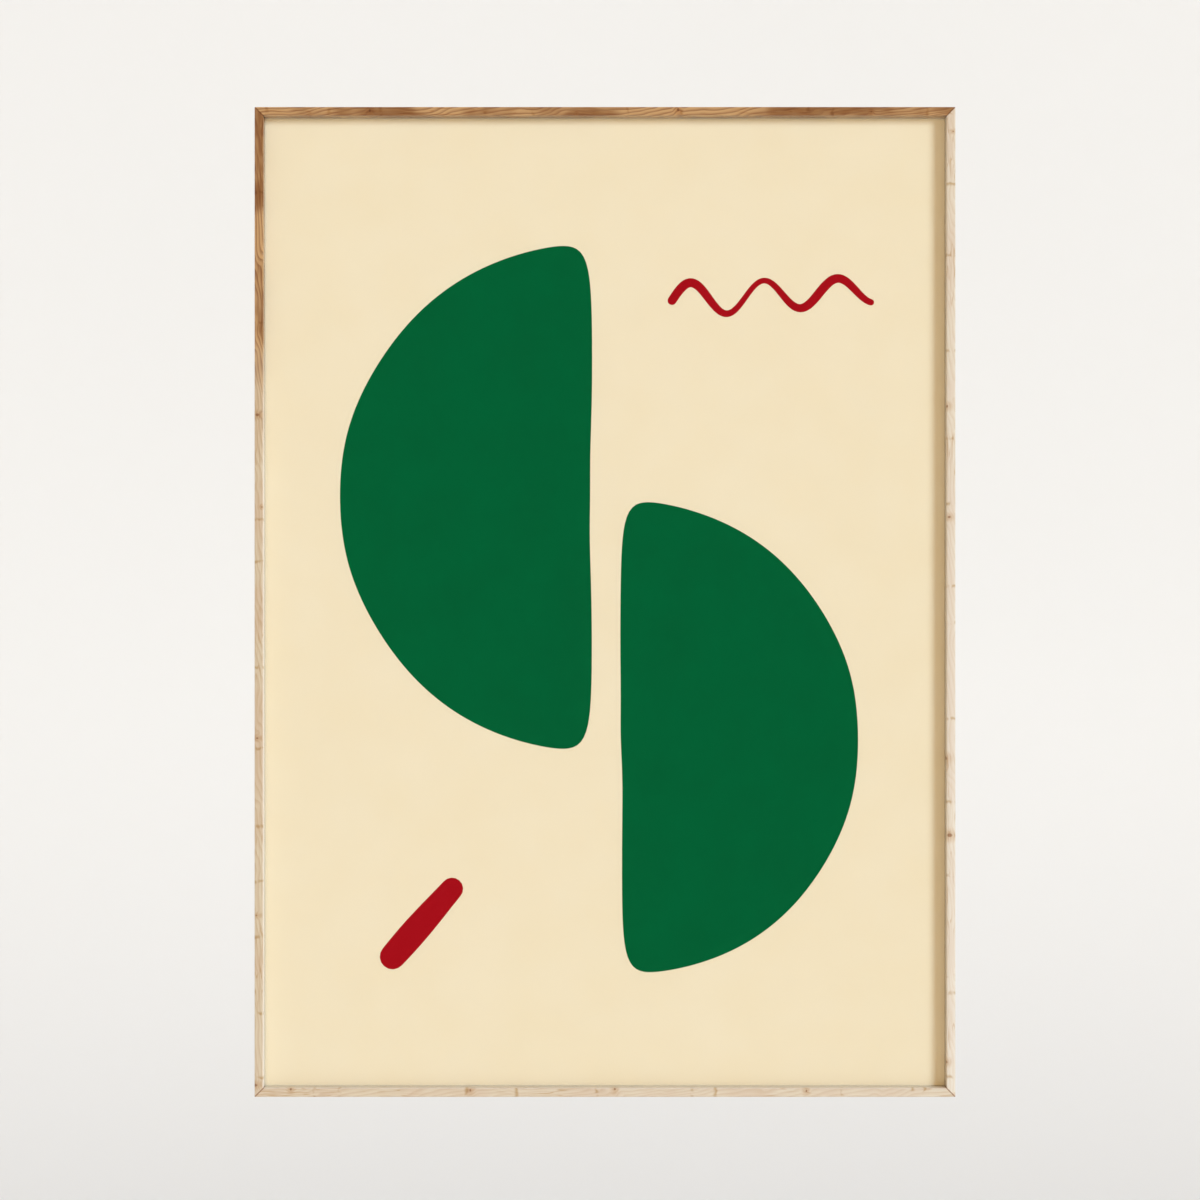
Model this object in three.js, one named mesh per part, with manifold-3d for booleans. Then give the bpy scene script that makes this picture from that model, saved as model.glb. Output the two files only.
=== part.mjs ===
// A framed wall print: a slim mitred frame of pale wood with its glazing, the
// print, a backing board, and the tabs, nails, rivets and hangers that hold it
// together and hang it. Millimetres, +Z up. The picture faces -Y and the wall
// is the plane Y = 0. The origin lies on the wall, midway between the two
// points where the hangers rest on their hooks.

import * as THREE from 'three';
import { mergeVertices } from 'three/addons/utils/BufferGeometryUtils.js';
import Module from 'manifold-3d';

// The sheet that the frame is made for, and what stands behind and before it
const SHEET_WIDTH = 594;
const SHEET_HEIGHT = 841;
const PRINT_THICKNESS = 0.3;
const GLAZING_THICKNESS = 2;
const BOARD_THICKNESS = 3;

// The moulding in section: a lip in front of the glazing, on a thin side wall
const FACE = 7.5;
const WALL = 3.5;
const DEPTH = 22;
const LIP = 10;
const ARRIS = 0.6;
const MITRE_GAP = 0.3;

// Room round the sheet inside the walls. All of the slack in height is on top,
// because the sheet stands on the bottom rail.
const SLACK_WIDTH = 1.5;
const SLACK_HEIGHT = 3;
const FIT_GAP = 0.1;

// The hangers rest on their hooks this far below the frame's top edge
const HOOK_BELOW_TOP = 50;

// Flexible tabs, driven into the walls' inner faces behind the board
const TAB = { width: 8, length: 13, thickness: 0.5, grip: 2.2, point: 3 };
const TAB_POCKET_ROOM = 0.15;
const TABS_ON_LONG_SIDE = 5;
const TABS_ON_SHORT_SIDE = 4;
const LONG_SIDE_PITCH = 170;
const SHORT_SIDE_PITCH = 150;

// V-shaped corner nails, driven into the mitred walls from the back
const NAIL = { leg: 4.5, thickness: 0.5, depth: 10, sunk: 0.5 };
const NAIL_SLOT_ROOM = 0.15;

// Sawtooth hangers, bent from strip, and the rivets that hold their two feet
const HANGER = { foot: 10, rise: 2, bridge: 28, height: 12, thickness: 1, standOff: 1.8 };
const HANGER_SPREAD = 300;
const TOOTH = { pitch: 3.5, depth: 1.6, count: 7 };
const RIVET = { shank: 1.6, head: 3.2, headThickness: 1, flare: 3.4, flareThickness: 0.8 };
const RIVET_ROOM = 0.2;
const COUNTERBORE_DEPTH = 1.1;
const ROUND_SIDES = 24;

// Sizes and places that follow from these
const FRAME_WIDTH = SHEET_WIDTH + SLACK_WIDTH + 2 * WALL;
const FRAME_HEIGHT = SHEET_HEIGHT + SLACK_HEIGHT + 2 * WALL;
const TOP_Z = HOOK_BELOW_TOP;
const BOTTOM_Z = TOP_Z - FRAME_HEIGHT;
const CENTRE_Z = (TOP_Z + BOTTOM_Z) / 2;
const SHEET_Z = BOTTOM_Z + WALL + FIT_GAP + SHEET_HEIGHT / 2;
const GLAZING_FRONT = LIP - DEPTH + FIT_GAP;
const PRINT_FRONT = GLAZING_FRONT + GLAZING_THICKNESS + FIT_GAP;
const BOARD_FRONT = PRINT_FRONT + PRINT_THICKNESS + FIT_GAP;
const BOARD_BACK = BOARD_FRONT + BOARD_THICKNESS;
const TAB_FRONT = BOARD_BACK + FIT_GAP;
const HANGER_FRONT = BOARD_BACK + FIT_GAP;
const HANGER_LENGTH = 2 * (HANGER.foot + HANGER.rise) + HANGER.bridge;
const HANGER_MIDDLE_Z = HANGER.height / 2 - TOOTH.depth;
const RIVET_SPREAD = HANGER_LENGTH - HANGER.foot;

const finish = {
  wood: { color: 0xdcc4a1, roughness: 0.55, metalness: 0 },
  glass: { color: 0xf2f6f4, roughness: 0.03, metalness: 0, transparent: true, opacity: 0.25 },
  paper: { color: 0xefe3c2, roughness: 0.85, metalness: 0 },
  fibreboard: { color: 0xa98761, roughness: 0.8, metalness: 0 },
  steel: { color: 0xa9acad, roughness: 0.4, metalness: 1 },
  zinc: { color: 0xc3c4bd, roughness: 0.35, metalness: 1 },
};

const wasm = await Module();
wasm.setup();

// Solids for joining and cutting, and back again
function solidOf(geometry) {
  const bare = geometry.clone();
  bare.deleteAttribute('normal');
  bare.deleteAttribute('uv');
  const merged = mergeVertices(bare, 1e-4);
  return new wasm.Manifold(new wasm.Mesh({
    numProp: 3,
    vertProperties: new Float32Array(merged.attributes.position.array),
    triVerts: new Uint32Array(merged.index.array),
  }));
}

function geometryOf(solid) {
  const mesh = solid.getMesh();
  const geometry = new THREE.BufferGeometry();
  geometry.setAttribute('position', new THREE.BufferAttribute(mesh.vertProperties, 3));
  geometry.setIndex(new THREE.BufferAttribute(mesh.triVerts, 1));
  const flat = geometry.toNonIndexed();
  flat.computeVertexNormals();
  return flat;
}

function cut(geometry, cutters) {
  let solid = solidOf(geometry);
  for (const cutter of cutters) {
    solid = solid.subtract(solidOf(cutter));
  }
  return geometryOf(solid);
}

// A block between two corners
function block(low, high) {
  const size = high.map((value, axis) => value - low[axis]);
  const middle = high.map((value, axis) => (value + low[axis]) / 2);
  return new THREE.BoxGeometry(...size).translate(...middle);
}

function outlineShape(points) {
  return new THREE.Shape(points.map(([x, y]) => new THREE.Vector2(x, y)));
}

const extrude = (shape, depth) => new THREE.ExtrudeGeometry(shape, { depth, bevelEnabled: false });

const group = new THREE.Group();

function addPiece(name, geometry, look, place = [0, 0, 0], turn = 0) {
  const piece = new THREE.Mesh(geometry, new THREE.MeshStandardMaterial(look));
  piece.name = name;
  piece.position.set(...place);
  piece.rotation.y = turn;
  group.add(piece);
}

// Places along a row, centred on its middle
function row(count, pitch) {
  return Array.from({ length: count }, (_, index) => (index - (count - 1) / 2) * pitch);
}

// A rail in its own frame: x runs inwards from the frame's outer face, y from
// front (-DEPTH) to back (0), and z along the rail, centred on its length.
function railGeometry(length, tabPlaces) {
  const section = outlineShape([
    [0, 0],
    [0, ARRIS - DEPTH],
    [ARRIS, -DEPTH],
    [FACE - ARRIS, -DEPTH],
    [FACE, ARRIS - DEPTH],
    [FACE, LIP - DEPTH],
    [WALL, LIP - DEPTH],
    [WALL, 0],
  ]);
  const rail = extrude(section, length).translate(0, 0, -length / 2);
  // Mitres: each end is drawn in by its distance from the outer face
  const corners = rail.attributes.position;
  for (let index = 0; index < corners.count; index += 1) {
    const drawnIn = corners.getX(index) + MITRE_GAP / Math.SQRT2;
    const end = Math.sign(corners.getZ(index));
    corners.setZ(index, end * (length / 2 - drawnIn));
  }
  return cut(rail, [...nailSlots(length), ...tabPlaces.map(tabPocket)]);
}

function nailSlots(length) {
  const half = NAIL.thickness / 2 + NAIL_SLOT_ROOM;
  const floor = -NAIL.sunk - NAIL.depth - NAIL_SLOT_ROOM;
  const start = length / 2 - WALL / 2 - NAIL.leg - NAIL_SLOT_ROOM;
  return [[-length, -start], [start, length]].map(([from, to]) => (
    block([WALL / 2 - half, floor, from], [WALL / 2 + half, 1, to])
  ));
}

function tabPocket(place) {
  const half = TAB.width / 2 + TAB_POCKET_ROOM;
  return block(
    [WALL - TAB.grip - TAB_POCKET_ROOM, TAB_FRONT - TAB_POCKET_ROOM, place - half],
    [WALL + 1, TAB_FRONT + TAB.thickness + TAB_POCKET_ROOM, place + half],
  );
}

// A tab in the same frame as its rail: its point is in the wall, and the rest
// lies over the board's edge. The point is blunt, as on cut strip.
function tabGeometry(place) {
  const tip = WALL - TAB.grip;
  const half = TAB.width / 2;
  const outline = outlineShape([
    [tip, -half / 2],
    [tip + TAB.point / 2, -half],
    [tip + TAB.length - 1, -half],
    [tip + TAB.length, 1 - half],
    [tip + TAB.length, half - 1],
    [tip + TAB.length - 1, half],
    [tip + TAB.point / 2, half],
    [tip, half / 2],
  ]);
  const tab = extrude(outline, TAB.thickness);
  // The outline is drawn flat, so stand it up in the plane of the board
  tab.rotateX(Math.PI / 2);
  return tab.translate(0, TAB_FRONT + TAB.thickness, place);
}

// The four sides, each a turn of the same rail about the Y axis
const longTabs = row(TABS_ON_LONG_SIDE, LONG_SIDE_PITCH);
const shortTabs = row(TABS_ON_SHORT_SIDE, SHORT_SIDE_PITCH);
const sides = [
  { name: 'left', length: FRAME_HEIGHT, tabs: longTabs, x: -FRAME_WIDTH / 2, z: CENTRE_Z, turn: 0 },
  { name: 'right', length: FRAME_HEIGHT, tabs: longTabs, x: FRAME_WIDTH / 2, z: CENTRE_Z, turn: Math.PI },
  { name: 'bottom', length: FRAME_WIDTH, tabs: shortTabs, x: 0, z: BOTTOM_Z, turn: -Math.PI / 2 },
  { name: 'top', length: FRAME_WIDTH, tabs: shortTabs, x: 0, z: TOP_Z, turn: Math.PI / 2 },
];

for (const { name, length, tabs, x, z, turn } of sides) {
  addPiece(`rail_${name}`, railGeometry(length, tabs), finish.wood, [x, 0, z], turn);
  tabs.forEach((place, index) => {
    addPiece(`tab_${name}_${index + 1}`, tabGeometry(place), finish.steel, [x, 0, z], turn);
  });
}

// Corner nails: two legs that meet on the mitre and run along the middle of
// both walls. The first is drawn for the lower left corner.
function nailGeometry() {
  const half = NAIL.thickness / 2;
  const legs = outlineShape([
    [-half, -half],
    [NAIL.leg, -half],
    [NAIL.leg, half],
    [half, half],
    [half, NAIL.leg],
    [-half, NAIL.leg],
  ]);
  return extrude(legs, NAIL.depth).rotateX(Math.PI / 2).translate(0, -NAIL.sunk, 0);
}

const nailX = FRAME_WIDTH / 2 - WALL / 2;
const nailUp = FRAME_HEIGHT / 2 - WALL / 2;
const nailCorners = [
  ['lower_left', -nailX, CENTRE_Z - nailUp, 0],
  ['lower_right', nailX, CENTRE_Z - nailUp, -Math.PI / 2],
  ['upper_right', nailX, CENTRE_Z + nailUp, Math.PI],
  ['upper_left', -nailX, CENTRE_Z + nailUp, Math.PI / 2],
];
for (const [corner, x, z, turn] of nailCorners) {
  addPiece(`corner_nail_${corner}`, nailGeometry(), finish.steel, [x, 0, z], turn);
}

// Glazing, print and backing board stand one behind the other on the bottom rail
function sheetBetween(front, back) {
  const half = SHEET_WIDTH / 2;
  return block([-half, front, SHEET_Z - SHEET_HEIGHT / 2], [half, back, SHEET_Z + SHEET_HEIGHT / 2]);
}

const rivetPlaces = [-1, 1].flatMap((side) => [-1, 1].map((end) => ({
  name: `rivet_${side < 0 ? 'left' : 'right'}_${end < 0 ? 'outer' : 'inner'}`,
  x: side * (HANGER_SPREAD / 2 - end * RIVET_SPREAD / 2),
})));

function roundHole(radius, x, from, to) {
  const hole = new THREE.CylinderGeometry(radius, radius, to - from, ROUND_SIDES);
  return hole.translate(x, (from + to) / 2, HANGER_MIDDLE_Z);
}

function boardGeometry() {
  const holes = rivetPlaces.flatMap(({ x }) => [
    roundHole(RIVET.shank + RIVET_ROOM, x, BOARD_FRONT - 1, BOARD_BACK + 1),
    roundHole(RIVET.flare + RIVET_ROOM, x, BOARD_FRONT - 1, BOARD_FRONT + COUNTERBORE_DEPTH),
  ]);
  return cut(sheetBetween(BOARD_FRONT, BOARD_BACK), holes);
}

addPiece('glazing', sheetBetween(GLAZING_FRONT, GLAZING_FRONT + GLAZING_THICKNESS), finish.glass);
addPiece('print_sheet', sheetBetween(PRINT_FRONT, PRINT_FRONT + PRINT_THICKNESS), finish.paper);
addPiece('backing_board', boardGeometry(), finish.fibreboard);

// A hanger: a strip with two feet on the board and a raised bridge between
// them, whose lower edge has the teeth that sit on the hook.
function hangerGeometry(middle) {
  const low = HANGER_FRONT;
  const high = low + HANGER.standOff;
  const foot = HANGER_LENGTH / 2 - HANGER.foot;
  const bridge = HANGER.bridge / 2;
  const end = HANGER_LENGTH / 2;
  const boardSide = [[-end, low], [-foot, low], [-bridge, high], [bridge, high], [foot, low], [end, low]];
  const wallSide = boardSide.map(([x, y]) => [x, y + HANGER.thickness]).reverse();
  const strip = extrude(outlineShape([...boardSide, ...wallSide]), HANGER.height);
  // Extruded along z from the lower edge up
  strip.translate(middle, 0, -TOOTH.depth);

  const holes = [-1, 1].map((side) => roundHole(
    RIVET.shank + RIVET_ROOM,
    middle + side * RIVET_SPREAD / 2,
    low - 1,
    low + HANGER.thickness + 1,
  ));
  const notches = row(TOOTH.count, TOOTH.pitch).map((x) => notchGeometry(middle + x));
  return cut(strip, [...holes, ...notches]);
}

// The gap between two teeth, flat at the top where the hook bears
function notchGeometry(x) {
  const mouth = TOOTH.pitch / 2 - 0.2;
  const crown = 0.5;
  const outline = outlineShape([
    [-crown, 0],
    [-mouth, -TOOTH.depth],
    [-mouth, -TOOTH.depth - 1],
    [mouth, -TOOTH.depth - 1],
    [mouth, -TOOTH.depth],
    [crown, 0],
  ]);
  return extrude(outline, -BOARD_BACK).rotateX(Math.PI / 2).translate(x, 0, 0);
}

addPiece('hanger_left', hangerGeometry(-HANGER_SPREAD / 2), finish.zinc);
addPiece('hanger_right', hangerGeometry(HANGER_SPREAD / 2), finish.zinc);

// A tubular rivet, turned about the Y axis: a low domed head on the hanger and
// a flare that is rolled over in the board's counterbore.
function rivetGeometry() {
  const flareFront = BOARD_FRONT + COUNTERBORE_DEPTH - FIT_GAP - RIVET.flareThickness;
  const flareBack = flareFront + RIVET.flareThickness;
  const headFront = HANGER_FRONT + HANGER.thickness + FIT_GAP;
  const profile = [
    [0, flareFront],
    [RIVET.flare - 0.3, flareFront],
    [RIVET.flare, flareBack],
    [RIVET.shank, flareBack],
    [RIVET.shank, headFront],
    [RIVET.head, headFront],
    [RIVET.head * 0.85, headFront + RIVET.headThickness * 0.6],
    [RIVET.head * 0.5, headFront + RIVET.headThickness * 0.95],
    [0, headFront + RIVET.headThickness],
  ];
  return new THREE.LatheGeometry(profile.map(([x, y]) => new THREE.Vector2(x, y)), ROUND_SIDES);
}

for (const { name, x } of rivetPlaces) {
  addPiece(name, rivetGeometry(), finish.zinc, [x, 0, HANGER_MIDDLE_Z]);
}

export default group;
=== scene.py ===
"""A framed wall print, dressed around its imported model.

A slim mitred frame of lacquered knotty pine holds float glass, a print of cut-out shapes on cream paper and a
fibreboard back. Steel tabs hold the stack, and two zinc-plated sawtooth hangers are riveted to the board.
Everything is in metres in the model's own frame: +Z up, the picture faces -Y, the wall is the plane Y = 0.
"""
import math

import bmesh
import bpy
from mathutils import Matrix, Vector
from mathutils.geometry import delaunay_2d_cdt


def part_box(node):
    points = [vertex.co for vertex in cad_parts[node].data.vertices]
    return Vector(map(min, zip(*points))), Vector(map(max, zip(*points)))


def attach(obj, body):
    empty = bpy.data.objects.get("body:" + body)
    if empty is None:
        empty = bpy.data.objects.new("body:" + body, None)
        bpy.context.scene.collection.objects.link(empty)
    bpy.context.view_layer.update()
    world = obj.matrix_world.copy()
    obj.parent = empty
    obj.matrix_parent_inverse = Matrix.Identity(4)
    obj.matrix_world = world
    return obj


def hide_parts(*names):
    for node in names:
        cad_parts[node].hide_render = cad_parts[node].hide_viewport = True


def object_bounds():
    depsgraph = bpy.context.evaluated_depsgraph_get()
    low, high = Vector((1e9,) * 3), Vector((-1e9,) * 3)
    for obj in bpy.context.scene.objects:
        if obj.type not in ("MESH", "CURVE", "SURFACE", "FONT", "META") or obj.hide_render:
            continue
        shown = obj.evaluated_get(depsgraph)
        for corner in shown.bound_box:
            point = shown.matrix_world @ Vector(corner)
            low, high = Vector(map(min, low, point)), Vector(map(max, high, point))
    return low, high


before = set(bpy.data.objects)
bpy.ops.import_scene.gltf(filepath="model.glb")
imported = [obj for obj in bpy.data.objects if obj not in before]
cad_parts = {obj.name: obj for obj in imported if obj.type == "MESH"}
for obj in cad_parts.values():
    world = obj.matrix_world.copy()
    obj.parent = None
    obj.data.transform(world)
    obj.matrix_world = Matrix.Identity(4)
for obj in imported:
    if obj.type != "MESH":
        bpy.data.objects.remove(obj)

cad_box = [list(corner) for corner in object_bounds()]

MM = 0.001
BODY = "root"

# The frame's own sizes, read from the model
FRAME_LOW, FRAME_HIGH = (Vector(corner) for corner in cad_box)
FRAME_CENTRE = (FRAME_LOW + FRAME_HIGH) / 2
FRONT_Y, BACK_Y = FRAME_LOW.y, FRAME_HIGH.y
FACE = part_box("rail_left")[1].x - FRAME_LOW.x
GLAZING_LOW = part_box("glazing")[0]
PRINT_LOW, PRINT_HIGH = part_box("print_sheet")

# The moulding: its wall, how deep its lip is, and how its corners are eased
WALL = 3.5 * MM
GLAZING_FIT = 0.1 * MM
LIP = GLAZING_LOW.y - FRONT_Y - GLAZING_FIT
FRONT_ARRIS, BACK_ARRIS = 0.8 * MM, 0.3 * MM
ARRIS_STEPS = 4
PANE_ARRIS, BOARD_ARRIS = 0.3 * MM, 0.25 * MM

# How wide a glued mitre shows, what that takes off each rail's end, and the room round what is driven in
GLUE_LINE = 0.12 * MM
MITRE_GAP = GLUE_LINE / math.sqrt(2)
DRIVEN_ROOM = 0.04 * MM

# The photograph's framing: pixels of its 1200 by 1200 picture, and where the outer edges lie in it
PICTURE_PX = 1200
LEFT_PX, RIGHT_PX = 254.7, 955.3
TOP_PX, BOTTOM_PX = 106.5, 1097.4
CAMERA_DISTANCE = 1.95
SENSOR = 36.0


def srgb(colour):
    """A hex colour as linear red, green, blue and alpha."""
    parts = [int(colour[i:i + 2], 16) / 255 for i in (1, 3, 5)]
    linear = [c / 12.92 if c <= 0.04045 else ((c + 0.055) / 1.055) ** 2.4 for c in parts]
    return (*linear, 1.0)


def add(tree, kind, settings=None, inputs=None):
    """Adds a node, sets its properties, and sets each input or links it from a socket or a node."""
    made = tree.nodes.new(kind)
    for name, value in (settings or {}).items():
        setattr(made, name, value)
    for key, value in (inputs or {}).items():
        live = [socket for socket in made.inputs if socket.enabled]
        target = made.inputs[key] if isinstance(key, int) else next(s for s in live if s.name == key)
        if isinstance(value, bpy.types.Node):
            value = next(socket for socket in value.outputs if socket.enabled)
        if isinstance(value, bpy.types.NodeSocket):
            tree.links.new(value, target)
        else:
            target.default_value = value
    return made


def new_material(name):
    """An empty node material, and its tree."""
    material = bpy.data.materials.new(name)
    material.use_nodes = True
    material.node_tree.nodes.clear()
    return material, material.node_tree


def new_piece(name, mesh, materials=()):
    """A finished piece: its object sits at the origin, with its place in its mesh."""
    piece = bpy.data.objects.new(name, mesh)
    bpy.context.scene.collection.objects.link(piece)
    for material in materials:
        mesh.materials.append(material)
    return piece


def mesh_from(name, points, faces, edges=()):
    """A mesh from plain lists."""
    mesh = bpy.data.meshes.new(name)
    mesh.from_pydata([tuple(p) for p in points], list(edges), faces)
    mesh.update()
    return mesh


def close_up(mesh, smooth=False):
    """Joins a mesh's doubles, drops its loose points and turns every face outwards."""
    shape = bmesh.new()
    shape.from_mesh(mesh)
    bmesh.ops.remove_doubles(shape, verts=shape.verts, dist=1e-7)
    bmesh.ops.delete(shape, geom=[v for v in shape.verts if not v.link_faces], context="VERTS")
    bmesh.ops.recalc_face_normals(shape, faces=shape.faces)
    for face in shape.faces:
        face.smooth = smooth
    shape.to_mesh(mesh)
    shape.free()
    return mesh


def seat(piece, slot, *nodes):
    """Hides the solids that a piece stands for, and lets it ride on the one body."""
    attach(piece, BODY)
    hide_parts(*nodes)


# Geometry Nodes

def new_tree(name, inputs):
    """A geometry tree with named inputs: the tree, and its input node's outputs by name."""
    tree = bpy.data.node_groups.new(name, "GeometryNodeTree")
    tree.interface.new_socket("Geometry", in_out="INPUT", socket_type="NodeSocketGeometry")
    tree.interface.new_socket("Geometry", in_out="OUTPUT", socket_type="NodeSocketGeometry")
    for label, kind in inputs.items():
        tree.interface.new_socket(label, in_out="INPUT", socket_type="NodeSocket" + kind)
    return tree, add(tree, "NodeGroupInput").outputs


def end_tree(tree, geometry, material):
    """Every tree ends alike: instances made real, one material, out."""
    real = add(tree, "GeometryNodeRealizeInstances", {}, {"Geometry": geometry})
    dressed = add(tree, "GeometryNodeSetMaterial", {}, {"Geometry": real, "Material": material})
    add(tree, "NodeGroupOutput", {}, {0: dressed})


def run_tree(piece, tree, values):
    """Runs a tree on a piece, and keeps what it makes as the piece's plain mesh."""
    modifier = piece.modifiers.new(tree.name, "NODES")
    modifier.node_group = tree
    sockets = {item.name: item.identifier for item in tree.interface.items_tree if item.in_out == "INPUT"}
    for label, value in values.items():
        modifier[sockets[label]] = value
    evaluated = piece.evaluated_get(bpy.context.evaluated_depsgraph_get())
    made = bpy.data.meshes.new_from_object(evaluated)
    piece.modifiers.clear()
    source, piece.data = piece.data, made
    bpy.data.meshes.remove(source)
    return piece


def moulding_tree():
    """Sweeps a closed section along a rail, eases its corners, mitres both ends and cuts what is driven in.

    It works in the rail's own frame: X runs inwards from the outer face, Y from front to back, Z along the
    rail. The attribute "grain" keeps that frame for the wood, "tone" runs from one end to the other, and
    "ends" is the distance from either end.
    """
    tree, given = new_tree("mitred_moulding", {
        "Length": "Float", "Mitre gap": "Float", "Cutters": "Object", "Turn": "Float", "Place": "Vector",
        "Cut from": "Float", "Tone at start": "Float", "Tone at end": "Float", "Wood": "Material",
    })
    half = add(tree, "ShaderNodeMath", {"operation": "MULTIPLY"}, {0: given["Length"], 1: 0.5})
    minus = add(tree, "ShaderNodeMath", {"operation": "MULTIPLY"}, {0: given["Length"], 1: -0.5})
    start = add(tree, "ShaderNodeCombineXYZ", {}, {"Z": minus})
    end = add(tree, "ShaderNodeCombineXYZ", {}, {"Z": half})
    path = add(tree, "GeometryNodeCurvePrimitiveLine", {}, {"Start": start, "End": end})

    section = add(tree, "GeometryNodeMeshToCurve", {}, {"Mesh": given["Geometry"]})
    arris = add(tree, "GeometryNodeInputNamedAttribute", {"data_type": "FLOAT"}, {"Name": "arris"})
    eased = add(tree, "GeometryNodeFilletCurve", {"mode": "POLY"},
                {"Curve": section, "Count": ARRIS_STEPS, "Radius": arris})
    swept = add(tree, "GeometryNodeCurveToMesh", {},
                {"Curve": path, "Profile Curve": eased, "Fill Caps": True})

    # The mitre draws each end in by its distance from the outer face
    parts = add(tree, "ShaderNodeSeparateXYZ", {}, {0: add(tree, "GeometryNodeInputPosition")}).outputs
    drawn_in = add(tree, "ShaderNodeMath", {"operation": "ADD"}, {0: parts["X"], 1: given["Mitre gap"]})
    share = add(tree, "ShaderNodeMath", {"operation": "DIVIDE"}, {0: drawn_in, 1: half})
    left = add(tree, "ShaderNodeMath", {"operation": "SUBTRACT"}, {0: 1.0, 1: share})
    along = add(tree, "ShaderNodeMath", {"operation": "MULTIPLY"}, {0: parts["Z"], 1: left})
    place = add(tree, "ShaderNodeCombineXYZ", {}, {"X": parts["X"], "Y": parts["Y"], "Z": along})
    mitred = add(tree, "GeometryNodeSetPosition", {}, {"Geometry": swept, "Position": place})

    cutters = add(tree, "GeometryNodeObjectInfo", {}, {"Object": given["Cutters"]}).outputs["Geometry"]
    cut = add(tree, "GeometryNodeMeshBoolean", {"operation": "DIFFERENCE", "solver": "EXACT"},
              {"Mesh 1": mitred, "Mesh 2": cutters})

    # What the wood's figure reads
    here = add(tree, "GeometryNodeInputPosition")
    offset = add(tree, "ShaderNodeCombineXYZ", {}, {"Z": given["Cut from"]})
    grain = add(tree, "ShaderNodeVectorMath", {"operation": "ADD"}, {0: here, 1: offset})
    kept = add(tree, "GeometryNodeStoreNamedAttribute", {"data_type": "FLOAT_VECTOR", "domain": "POINT"},
               {"Geometry": cut, "Name": "grain", "Value": grain})
    height = add(tree, "ShaderNodeSeparateXYZ", {}, {0: here}).outputs["Z"]
    tone = add(tree, "ShaderNodeMapRange", {"clamp": False}, {
        "Value": height, "From Min": minus, "From Max": half,
        "To Min": given["Tone at start"], "To Max": given["Tone at end"]})
    toned = add(tree, "GeometryNodeStoreNamedAttribute", {"data_type": "FLOAT", "domain": "POINT"},
                {"Geometry": kept, "Name": "tone", "Value": tone})
    from_start = add(tree, "ShaderNodeMath", {"operation": "ADD"}, {0: half, 1: height})
    from_end = add(tree, "ShaderNodeMath", {"operation": "SUBTRACT"}, {0: half, 1: height})
    ends = add(tree, "ShaderNodeCombineXYZ", {}, {"X": from_start, "Y": from_end})
    measured = add(tree, "GeometryNodeStoreNamedAttribute", {"data_type": "FLOAT_VECTOR", "domain": "POINT"},
                   {"Geometry": toned, "Name": "ends", "Value": ends})

    turn = add(tree, "ShaderNodeCombineXYZ", {}, {"Y": given["Turn"]})
    placed = add(tree, "GeometryNodeTransform", {},
                 {"Geometry": measured, "Translation": given["Place"], "Rotation": turn})
    end_tree(tree, placed, given["Wood"])
    return tree


def set_out_tree():
    """Sets a copy of a blank at every point, turned by the point's "turn" about Y, and a little skewed."""
    tree, given = new_tree("set_out", {
        "Blank": "Object", "Skew": "Float", "Seed": "Int", "Metal": "Material"})
    turn = add(tree, "GeometryNodeInputNamedAttribute", {"data_type": "FLOAT"}, {"Name": "turn"})
    least = add(tree, "ShaderNodeMath", {"operation": "MULTIPLY"}, {0: given["Skew"], 1: -1.0})
    skew = add(tree, "FunctionNodeRandomValue", {"data_type": "FLOAT"},
               {"Min": least, "Max": given["Skew"], "Seed": given["Seed"]})
    angle = add(tree, "ShaderNodeMath", {"operation": "ADD"}, {0: turn, 1: skew})
    euler = add(tree, "ShaderNodeCombineXYZ", {}, {"Y": angle})
    rotation = add(tree, "FunctionNodeEulerToRotation", {}, {"Euler": euler})
    blank = add(tree, "GeometryNodeObjectInfo", {}, {"Object": given["Blank"]}).outputs["Geometry"]
    points = add(tree, "GeometryNodeMeshToPoints", {}, {"Mesh": given["Geometry"]})
    copies = add(tree, "GeometryNodeInstanceOnPoints", {},
                 {"Points": points, "Instance": blank, "Rotation": rotation})
    end_tree(tree, copies, given["Metal"])
    return tree


# Materials

# Settings that many nodes share: a mask that eases in and out, and a mix of two colours
SMOOTH = {"interpolation_type": "SMOOTHSTEP"}
COLOUR = {"data_type": "RGBA"}


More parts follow.
